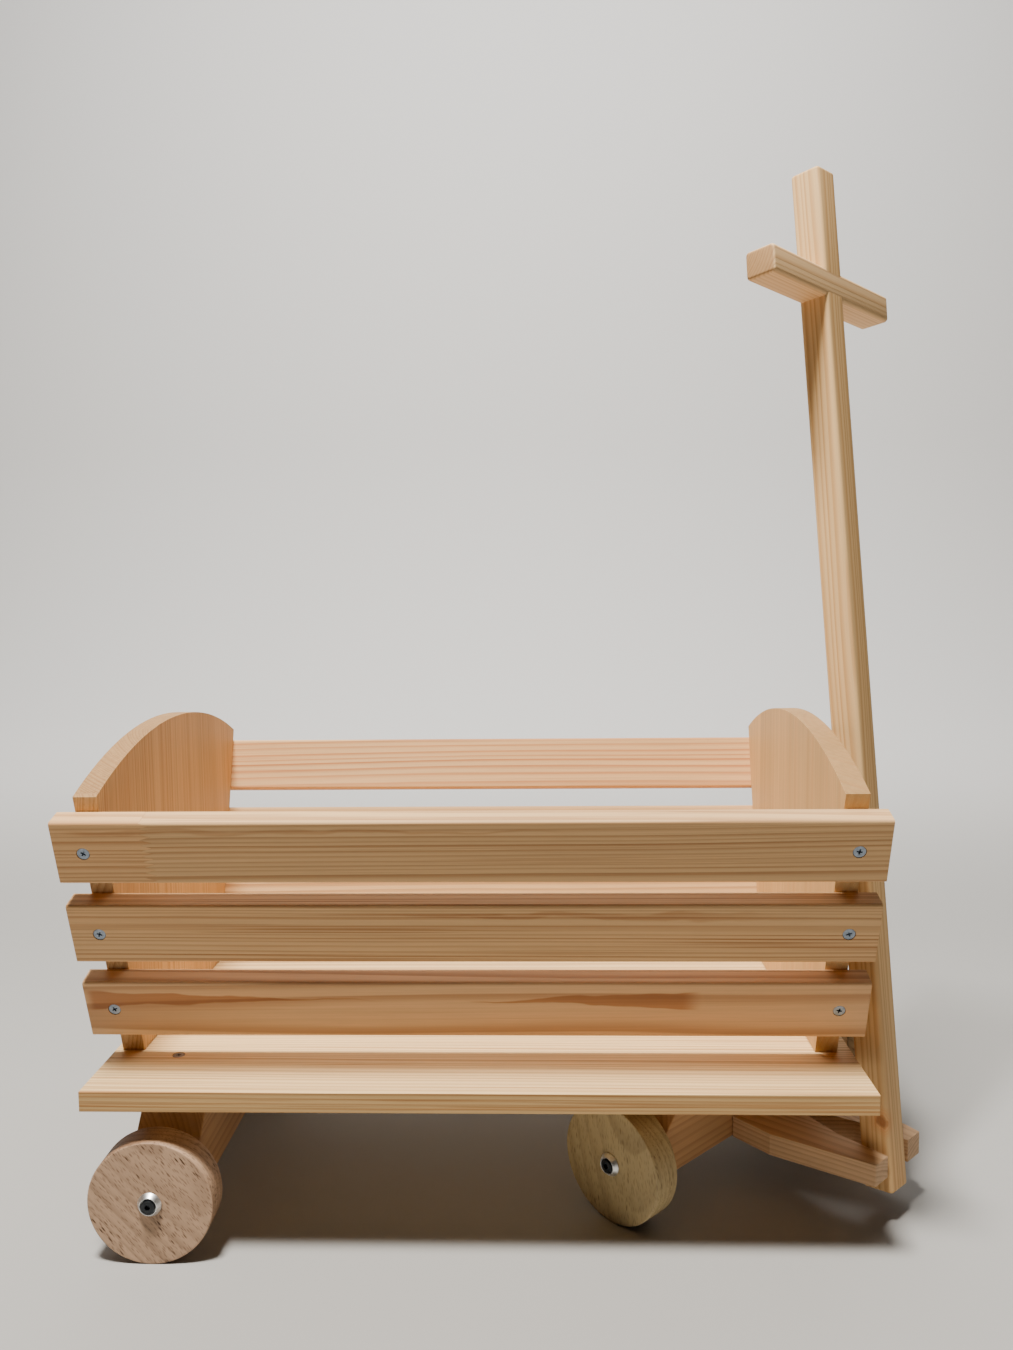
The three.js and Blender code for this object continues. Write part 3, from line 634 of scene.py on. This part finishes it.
def screws():
    L1, L2 = 0.042, 0.038
    src = {L1: screw_mesh(L1), L2: screw_mesh(L2)}
    rng = np.random.default_rng(7)
    jobs = []
    for side, s in (("near", -1), ("far", 1)):
        out = Vector((0, s * math.cos(LEAN), -math.sin(LEAN)))
        upv = Vector((0, s * math.sin(LEAN), math.cos(LEAN)))
        org = Vector((0, s * 0.0951, 0.1255))
        for key, h in (("top", 0.1805), ("mid", 0.1159), ("low", 0.0515)):
            for end, X in (("rear", -0.2555 - 0.035307), ("front", 0.255 - 0.035307)):
                p = org + out * (0.0003 + 0.0163 - 0.0003) + upv * h + Vector((X, 0, 0))
                jobs.append((f"slat_screw_{side}_{key}_{end}", p, out, L1))
    for i, y in enumerate((-0.103, 0.0, 0.103)):
        jobs.append((f"floor_screw_rear_{i + 1}", Vector((-0.2192 - 0.035307, y, 0.1255 - 0.0002)), Vector((0, 0, 1)), L2))
    for i, y in enumerate((-0.085, 0.0, 0.085)):
        jobs.append((f"floor_screw_front_{i + 1}", Vector((0.255 - 0.035307, y, 0.1115 + 0.0002)), Vector((0, 0, -1)), L2))
    for name, p, out, L in jobs:
        q = out.to_track_quat("Z", "Y").to_matrix().to_4x4()
        M = Matrix.Translation(p) @ q @ Matrix.Rotation(rng.uniform(0, 90) * DEG, 4, "Z")
        me = src[L].copy()
        me.name = "cross_" + name
        me.transform(M)
        me.polygons.foreach_set("use_smooth", [True] * len(me.polygons))
        me.set_sharp_from_angle(angle=30 * DEG)
        me.materials.clear()
        me.materials.append(SCREW)
        o = D.objects.new("cross_" + name, me)
        bpy.context.collection.objects.link(o)
        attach(o, "wagon")
        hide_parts(name)


screws()

# pull rod and cross bar: square stock, half-lapped, all outer edges rounded over
def rounded_stock(x0, x1, y0, y1, z0, z1, r, end_r, long_axis):
    """square bar with rounded long edges and softened ends; returns bmesh"""
    bm = box_bm(x0, x1, y0, y1, z0, z1)
    ends, longs = [], []
    for e in bm.edges:
        d = (e.verts[1].co - e.verts[0].co)
        (longs if abs(d[long_axis]) > 1e-6 else ends).append(e)
    bmesh.ops.bevel(bm, geom=longs, offset=r, segments=6, profile=0.5, affect="EDGES", clamp_overlap=True)
    ends = [e for e in bm.edges if abs((e.verts[1].co - e.verts[0].co)[long_axis]) < 1e-7
            and (abs(e.verts[0].co[long_axis] - (x0, y0, z0)[long_axis]) < 1e-7 or abs(e.verts[0].co[long_axis] - (x1, y1, z1)[long_axis]) < 1e-7)]
    bmesh.ops.bevel(bm, geom=ends, offset=end_r, segments=5, profile=0.5, affect="EDGES", clamp_overlap=True)
    return bm


H = 0.0234 / 2
rod_bm = rounded_stock(-H, H, -H, H, -0.0236, 0.7295, 0.003, 0.0024, 2)
ROD_WOOD = wood("pine_rod", log_frame(ROD_M.to_3x3() @ Z, ROD_M.to_3x3() @ Vector((0.6, 0.8, 0)), PIVOT, pith=(0.006, 0.030), skew=0.006),
                srgb(228, 186, 128), srgb(182, 122, 60), ring=0.0042, late_amount=0.55, warp=0.016, fibre=0.13, tone=0.12, seed=12.0,
                knots=((tuple(PIVOT + Vector((-0.006, -0.012, 0.030))), 0.009, srgb(214, 136, 72)),), tint=(srgb(255, 228, 204), 0.6))
rod = make("round_edged_rod", rod_bm, ROD_WOOD, None, None)
BL = Matrix.Translation((0, 0, 0.6432)) @ Matrix.Rotation(-2.1 * DEG, 4, "X")
bh = 0.0204 / 2
# the rod's lap is cut to the bar's own rounded section, so the front closes without a groove
lap = rounded_stock(-H, H + 0.00005, -0.04, 0.04, -bh - 0.00005, bh + 0.00005, 0.003, 0.0005, 1)
bmesh.ops.bisect_plane(lap, geom=lap.verts[:] + lap.edges[:] + lap.faces[:], plane_co=(-0.00005, 0, 0), plane_no=(1, 0, 0), clear_inner=True)
bmesh.ops.holes_fill(lap, edges=[e for e in lap.edges if e.is_boundary], sides=0)
cut_with(rod, lap, BL)
rod.data.transform(ROD_M)
rod.data.polygons.foreach_set("use_smooth", [True] * len(rod.data.polygons))
rod.data.set_sharp_from_angle(angle=38 * DEG)
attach(rod, "handle")
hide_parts("pull_rod")

bar_bm = rounded_stock(-H, H, -0.0798, 0.0807, -bh, bh, 0.003, 0.0024, 1)
BAR_WOOD = wood("pine_bar", log_frame(BAR_M.to_3x3() @ Vector((0, 1, 0)), BAR_M.to_3x3() @ Vector((1, 0, 0.6)), BAR_M.translation, pith=(0.02, 0.040)),
                srgb(228, 188, 136), srgb(176, 122, 72), ring=0.0022, late_amount=0.45, warp=0.003, fibre=0.10, tone=0.10, seed=14.0)
bar = make("round_edged_bar", bar_bm, BAR_WOOD, None, None)
cut_with(bar, box_bm(-0.03, 0.00005, -H - 0.00005, H + 0.00005, -0.04, 0.04), Matrix.Rotation(2.1 * DEG, 4, "X"))
bar.data.transform(BAR_M)
bar.data.polygons.foreach_set("use_smooth", [True] * len(bar.data.polygons))
bar.data.set_sharp_from_angle(angle=38 * DEG)
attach(bar, "handle")
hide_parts("cross_bar")

# ------------------------------------------------------------------ stage
floor_m = D.materials.new("pale_floor")
floor_m.use_nodes = True
fb = floor_m.node_tree.nodes["Principled BSDF"]
fq = N(floor_m.node_tree)
f_tc = fq.add("ShaderNodeTexCoord")
f_sep = fq.add("ShaderNodeSeparateXYZ")
fq.link(f_tc.outputs["Object"], f_sep.inputs[0])
# a touch lighter up the backdrop than on the floor
fq.link(fq.mix(fq.step(f_sep.outputs[1], 0.5, 1.9), srgb(168, 166, 162), srgb(232, 230, 227)), fb.inputs["Base Color"])
fb.inputs["Roughness"].default_value = 0.8


def sweep():
    """pale floor that curves up into a backdrop behind the object"""
    bm = bmesh.new()
    prof = [(-2.2, 0.0)]
    y0, R = 1.5, 0.9
    for i in range(25):
        a = i / 24 * math.pi / 2
        prof.append((y0 + R * math.sin(a), R - R * math.cos(a)))
    prof.append((y0 + R, 4.0))
    vs = [[bm.verts.new((x, y, z)) for (y, z) in prof] for x in (-4.0, 4.0)]
    for j in range(len(prof) - 1):
        bm.faces.new((vs[0][j], vs[1][j], vs[1][j + 1], vs[0][j + 1]))
    me = D.meshes.new("studio_sweep")
    bm.to_mesh(me)
    bm.free()
    me.polygons.foreach_set("use_smooth", [True] * len(me.polygons))
    o = D.objects.new("studio_sweep", me)
    bpy.context.collection.objects.link(o)
    me.materials.append(floor_m)


sweep()


def area(name, loc, target, size, power, color=(1, 1, 1)):
    l = D.lights.new(name, "AREA")
    l.shape = "RECTANGLE"
    l.size, l.size_y = size
    l.energy = power
    l.color = color
    o = D.objects.new(name, l)
    d = Vector(target) - Vector(loc)
    o.matrix_world = Matrix.Translation(loc) @ d.to_track_quat("-Z", "Y").to_matrix().to_4x4()
    bpy.context.collection.objects.link(o)


area("key_top", (-0.36, -0.70, 2.55), (0, 0, 0.2), (0.42, 0.34), 156, (1.0, 0.97, 0.92))
area("backdrop", (0.0, 1.0, 2.9), (0, 2.4, 0.7), (3.0, 1.0), 52, (1, 1, 1))
world = D.worlds.new("studio") if not bpy.context.scene.world else bpy.context.scene.world
bpy.context.scene.world = world
world.use_nodes = True
bg = world.node_tree.nodes.get("Background")
bg.inputs["Color"].default_value = (0.92, 0.95, 1.0, 1.0)
bg.inputs["Strength"].default_value = 0.02
# beyond the edge of the sweep every view sees the same plain pale grey
wq = N(world.node_tree)
pale = wq.add("ShaderNodeBackground")
pale.inputs["Color"].default_value = (0.80, 0.80, 0.79, 1.0)
pale.inputs["Strength"].default_value = 0.75
lp = wq.add("ShaderNodeLightPath")
ms = wq.add("ShaderNodeMixShader")
wq.link(lp.outputs["Is Camera Ray"], ms.inputs[0])
wq.link(bg.outputs[0], ms.inputs[1])
wq.link(pale.outputs[0], ms.inputs[2])
wq.link(ms.outputs[0], next(n for n in world.node_tree.nodes if n.type == "OUTPUT_WORLD").inputs[0])
